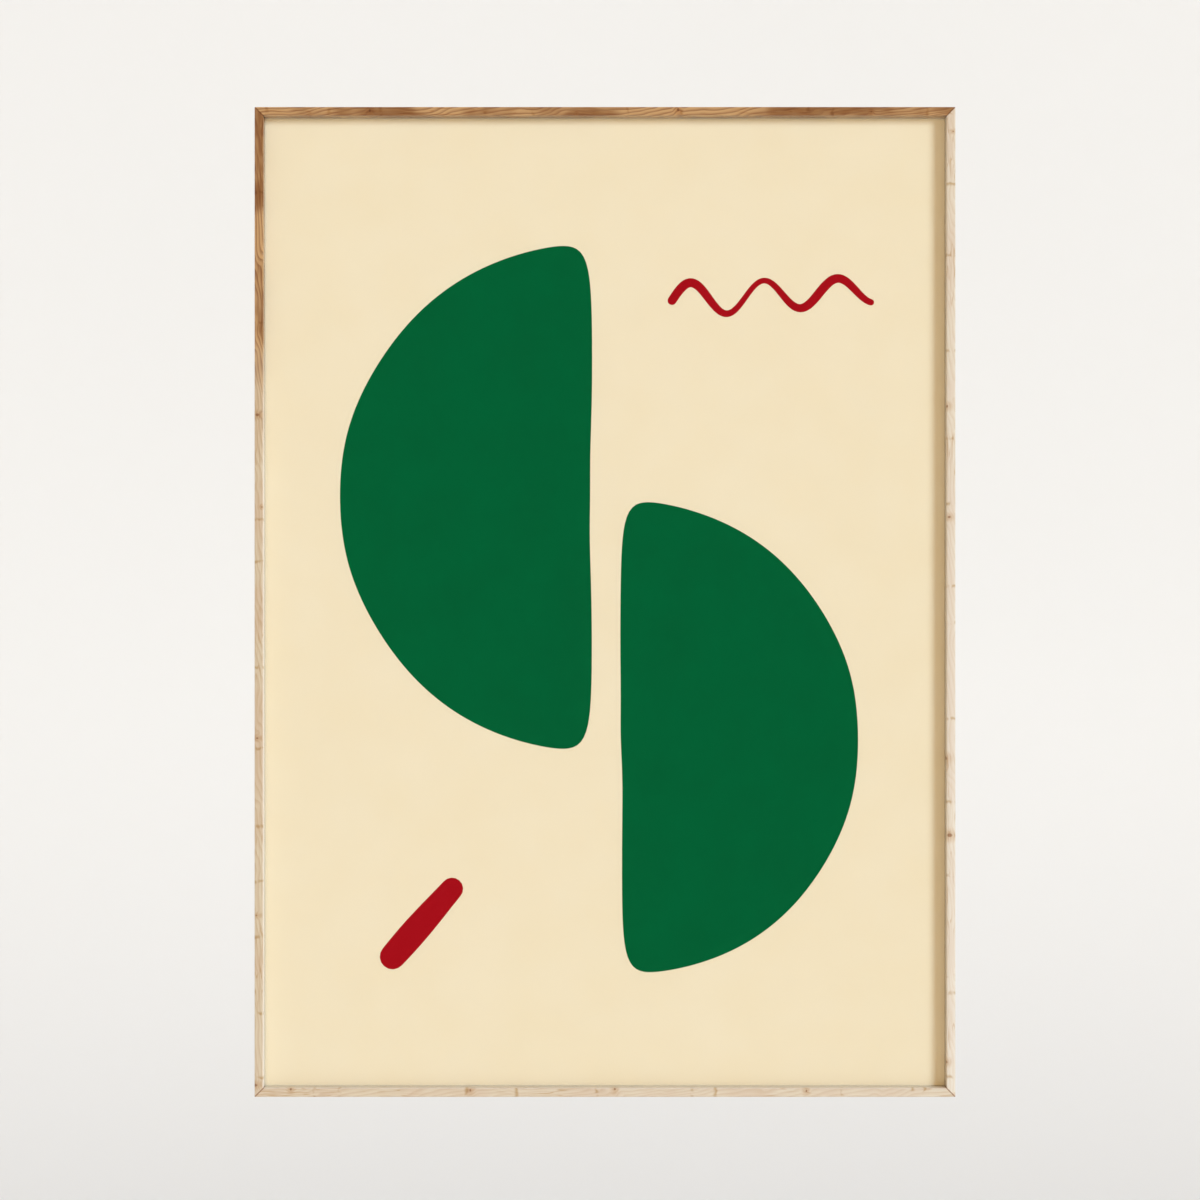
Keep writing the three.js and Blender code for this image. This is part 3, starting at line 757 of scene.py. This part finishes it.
def set_out(name, blank_mesh, places, skew, metal):
    """Copies of one blank, each at its place and turn, as one piece."""
    skew_seed = 4
    blank = new_piece(name + "_blank", blank_mesh)
    points = mesh_from(name, [place for place, _ in places], [])
    turns = points.attributes.new("turn", "FLOAT", "POINT")
    for item, (_, turn) in zip(turns.data, places):
        item.value = turn
    piece = new_piece(name, points)
    run_tree(piece, SET_OUT, {"Blank": blank, "Skew": skew, "Seed": skew_seed, "Metal": metal})
    bpy.data.objects.remove(blank)
    return piece


def make_tabs():
    """Flexible tabs: a point in the wall, a body over the board, and a free end lifted for the thumb."""
    skew = math.radians(1.3)    # no two are driven in quite straight
    low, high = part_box("tab_left_1")
    length, half = high.x - low.x, (high.z - low.z) / 2
    grip = FRAME_LOW.x + WALL - low.x
    point, corner, lift, lifted = 1.5 * MM, 1.2 * MM, 0.45 * MM, 3.2 * MM
    tip = length - grip
    upper = [(-grip, half / 2), (point - grip, half), (tip - corner, half), (tip, half - corner)]
    outline = [(x, -z) for x, z in upper] + upper[::-1]
    lift_steps, first_step = 8, 3
    folds = [tip - lifted * i / lift_steps for i in range(first_step, lift_steps + 1)]

    def press(x):
        return lift * (max(0.0, x - tip + lifted) / lifted) ** 2

    blank = pressed_plate("tab_blank", [outline], high.y - low.y, press, folds)
    places, nodes = [], []
    for side, (turn, (x, z), _, _) in RAILS.items():
        wall_face = Vector((x, 0, z)) + Matrix.Rotation(turn, 3, "Y") @ Vector((WALL, 0, 0))
        for node in sorted(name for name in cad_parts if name.startswith("tab_" + side)):
            middle = (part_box(node)[0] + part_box(node)[1]) / 2
            upright = side in ("left", "right")
            at_x, at_z = (wall_face.x, middle.z) if upright else (middle.x, wall_face.z)
            places.append(((at_x, low.y, at_z), turn))
            nodes.append(node)
    tabs = set_out("retaining_tabs", blank, places, skew, SPRING_STEEL)
    seat(tabs, "tab_steel", *nodes)


def make_nails():
    """Corner nails: two legs on a mitre, driven in from the back."""
    low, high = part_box("corner_nail_lower_left")
    half = 0.25 * MM
    leg = high.x - low.x - half
    outline = [(-half, -half), (leg, -half), (leg, half), (half, half), (half, leg), (-half, leg)]
    blank = pressed_plate("nail_blank", [outline], high.y - low.y, lambda x: 0.0)
    inset = FRAME_LOW.x + WALL / 2
    down, up = FRAME_LOW.z + WALL / 2, FRAME_HIGH.z - WALL / 2
    corners = {
        "lower_left": (inset, down, 0.0), "lower_right": (-inset, down, -math.pi / 2),
        "upper_right": (-inset, up, math.pi), "upper_left": (inset, up, math.pi / 2),
    }
    places = [((x, low.y, z), turn) for x, z, turn in corners.values()]
    nails = set_out("corner_nails", blank, places, 0.0, SPRING_STEEL)
    seat(nails, "nail_steel", *("corner_nail_" + corner for corner in corners))


def make_hangers():
    """Sawtooth hangers, pressed from strip: two riveted feet, and a raised bridge with teeth below."""
    tooth_pitch, tooth_depth, tooth_count, crown = 3.5 * MM, 1.6 * MM, 7, 0.5 * MM
    foot, slope, thickness, corner, hole = 10 * MM, 2 * MM, 1 * MM, 2.2 * MM, 1.8 * MM
    corner_steps, slope_steps, hole_steps = 5, 6, 24
    mouth = tooth_pitch / 2 - 0.2 * MM
    for side in ("left", "right"):
        low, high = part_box("hanger_" + side)
        centre, half = (low.x + high.x) / 2, (high.x - low.x) / 2
        stand_off = high.y - low.y - thickness
        outline = []
        for x, z, start in ((corner - half, low.z + corner, 2), (half - corner, low.z + corner, 3),
                            (half - corner, high.z - corner, 0), (corner - half, high.z - corner, 1)):
            turns = [math.pi / 2 * (start + i / corner_steps) for i in range(corner_steps + 1)]
            outline += [(x + corner * math.cos(a), z + corner * math.sin(a)) for a in turns]
            if start == 2:
                for index in range(tooth_count):
                    tooth = (index - (tooth_count - 1) / 2) * tooth_pitch
                    outline += [(tooth + shift, low.z + rise) for shift, rise in
                                ((-mouth, 0), (-crown, tooth_depth), (crown, tooth_depth), (mouth, 0))]
        holes = [polar_outline((sign * (half - foot / 2), (low.z + high.z) / 2), lambda a: hole, hole_steps)
                 for sign in (-1, 1)]
        folds = [sign * (half - foot - slope * i / slope_steps)
                 for i in range(slope_steps + 1) for sign in (-1, 1)]

        def press(x):
            share = min(max((half - foot - abs(x)) / slope, 0.0), 1.0)
            return low.y + stand_off * share * share * (3 - 2 * share)

        mesh = pressed_plate("hanger_" + side, [outline] + holes, thickness, press, folds)
        mesh.transform(Matrix.Translation((centre, 0, 0)))
        hanger = new_piece("sawtooth_hanger_" + side, mesh, [ZINC])
        seat(hanger, "hanger_zinc", "hanger_" + side)


def make_rivets():
    """Tubular rivets: a domed head with the tube's mouth in it, and a rolled flare in the board."""
    nodes = sorted(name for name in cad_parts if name.startswith("rivet_"))
    low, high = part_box(nodes[0])
    top = high.y - low.y
    strip_and_gap = 1.1 * MM
    seat_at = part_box("hanger_left")[0].y + strip_and_gap - low.y
    shank, head, flare, mouth, rim = 1.6 * MM, 3.2 * MM, 3.4 * MM, 0.9 * MM, 0.8 * MM
    profile = [
        (0, 0), (flare - 0.3 * MM, 0), (flare, 0.35 * MM), (flare - 0.1 * MM, rim), (shank, rim),
        (shank, seat_at), (head - 0.12 * MM, seat_at), (head, seat_at + 0.14 * MM),
        (0.93 * head, seat_at + 0.42 * MM), (0.75 * head, seat_at + 0.75 * MM), (0.5 * head, top - 0.02 * MM),
        (mouth + 0.25 * MM, top), (mouth, top - 0.2 * MM), (0.85 * mouth, top - 0.8 * MM),
        (0, top - 0.85 * MM),
    ]
    sides = 32
    turns = [2 * math.pi * i / sides for i in range(sides)]
    points = [(r * math.cos(a), y, r * math.sin(a)) for r, y in profile for a in turns]
    faces = []
    for ring in range(0, sides * (len(profile) - 1), sides):
        for i in range(sides):
            after = (i + 1) % sides
            faces.append([ring + i, ring + sides + i, ring + sides + after, ring + after])
    blank = close_up(mesh_from("rivet_blank", points, faces), smooth=True)
    middles = [(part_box(node)[0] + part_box(node)[1]) / 2 for node in nodes]
    rivets = set_out("hanger_rivets", blank, [((p.x, low.y, p.z), 0.0) for p in middles], 0.0, ZINC)
    seat(rivets, "rivet_zinc", *nodes)


SET_OUT = set_out_tree()
make_rails()
seat(eased_copy("glazing", "float_glass_pane", PANE_ARRIS, GLASS), "clear_glass", "glazing")
seat(printed_sheet(), "print_paper", "print_sheet")
seat(eased_copy("backing_board", "fibreboard_back", BOARD_ARRIS, FIBREBOARD), "fibreboard", "backing_board")
make_tabs()
make_nails()
make_hangers()
make_rivets()


# Camera, stage and lights

def make_camera():
    """Square on and level, at the photograph's framing."""
    metres_per_px = ((FRAME_HIGH.x - FRAME_LOW.x) / (RIGHT_PX - LEFT_PX)
                     + (FRAME_HIGH.z - FRAME_LOW.z) / (BOTTOM_PX - TOP_PX)) / 2
    right = ((LEFT_PX + RIGHT_PX) / 2 - PICTURE_PX / 2) * metres_per_px
    down = ((TOP_PX + BOTTOM_PX) / 2 - PICTURE_PX / 2) * metres_per_px
    data = bpy.data.cameras.new("camera")
    data.sensor_width = SENSOR
    data.lens = SENSOR * CAMERA_DISTANCE / (PICTURE_PX * metres_per_px)
    camera = bpy.data.objects.new("camera", data)
    camera.location = (FRAME_CENTRE.x - right, FRONT_Y - CAMERA_DISTANCE, FRAME_CENTRE.z + down)
    camera.rotation_euler = (math.pi / 2, 0, 0)
    bpy.context.scene.collection.objects.link(camera)
    bpy.context.scene.camera = camera


def make_stage():
    """A pale floor that curves up into a backdrop, well behind the frame so that its back can be seen."""
    floor_z, back_y, radius, reach, top_z = -1.75, 3.2, 1.2, 60.0, 3.6
    bend_steps = 16
    turns = [math.pi / 2 * i / bend_steps for i in range(bend_steps + 1)]
    bend = [(back_y - radius + radius * math.sin(a), floor_z + radius - radius * math.cos(a)) for a in turns]
    line = [(-reach, floor_z)] + bend + [(back_y, top_z)]
    points = [(x, y, z) for x in (-reach, reach) for y, z in line]
    count = len(line)
    material, tree = new_material("matt_studio_paper")
    place = add(tree, "ShaderNodeTexCoord").outputs["Object"]
    cloud = add(tree, "ShaderNodeTexNoise", {}, {"Vector": place, "Scale": 0.6, "Detail": 2.0})
    colour = add(tree, "ShaderNodeMix", COLOUR,
                 {"Factor": cloud, "A": srgb("#E5E6E5"), "B": srgb("#E8E9E8")})
    paper = add(tree, "ShaderNodeBsdfPrincipled", {}, {
        "Base Color": colour, "Roughness": 0.95, "Specular IOR Level": 0.1})
    add(tree, "ShaderNodeOutputMaterial", {}, {"Surface": paper})
    mesh = mesh_from("studio_cove", points, [[i, i + count, i + count + 1, i + 1] for i in range(count - 1)])
    mesh.polygons.foreach_set("use_smooth", [True] * (count - 1))
    cove = new_piece("studio_cove", mesh, [material])
    cove.visible_shadow = False

    # A dark cloth behind the camera, as in a copy studio: only the glazing meets it, in its reflection
    half_width, half_height, cloth_y = 1.3, 1.6, -4.4
    corners = [(x * half_width, cloth_y, FRAME_CENTRE.z + z * half_height)
               for x, z in ((-1, -1), (1, -1), (1, 1), (-1, 1))]
    material, tree = new_material("black_velvet")
    velvet = add(tree, "ShaderNodeBsdfDiffuse", {}, {"Color": srgb("#0A0A0A")})
    add(tree, "ShaderNodeOutputMaterial", {}, {"Surface": velvet})
    cloth = new_piece("dark_cloth", mesh_from("dark_cloth", corners, [[0, 1, 2, 3]]), [material])
    cloth.visible_camera = cloth.visible_diffuse = cloth.visible_shadow = cloth.visible_transmission = False


def make_lights():
    """A soft key from the upper right, a fill straight in front, a wide one behind, and a warm room.

    The key and the front fill are left out of reflections, so neither shines off the glazing.
    """
    for name, towards, softness, strength, colour, mirrored in (
            ("key", (0.66, -0.72, 0.24), 21, 2.60, (0.70, 0.84, 1.0), False),
            ("front_fill", (0.0, -1.0, 0.02), 8, 0.88, (1.0, 0.74, 0.42), False),
            ("back_fill", (-0.62, 0.66, 0.42), 100, 2.4, (0.90, 0.95, 1.0), True)):
        data = bpy.data.lights.new(name, "SUN")
        data.angle = math.radians(softness)
        data.energy = strength
        data.color = colour
        light = bpy.data.objects.new(name, data)
        light.rotation_euler = Vector(towards).to_track_quat("Z", "Y").to_euler()
        light.visible_glossy = mirrored
        bpy.context.scene.collection.objects.link(light)

    # The room lights the frame warmly, but looks as pale as the floor
    world = bpy.data.worlds.new("pale_room")
    world.use_nodes = True
    tree = world.node_tree
    tree.nodes.clear()
    seen = add(tree, "ShaderNodeLightPath").outputs["Is Camera Ray"]
    colour = add(tree, "ShaderNodeMix", COLOUR,
                 {"Factor": seen, "A": srgb("#FFDDBC"), "B": srgb("#CAC7C4")})
    strength = add(tree, "ShaderNodeMapRange", {}, {"Value": seen, "To Min": 0.28, "To Max": 1.0})
    room = add(tree, "ShaderNodeBackground", {}, {"Color": colour, "Strength": strength})
    add(tree, "ShaderNodeOutputWorld", {}, {"Surface": room})
    bpy.context.scene.world = world
    bpy.context.scene.view_settings.view_transform = "Standard"


make_camera()
make_stage()
make_lights()
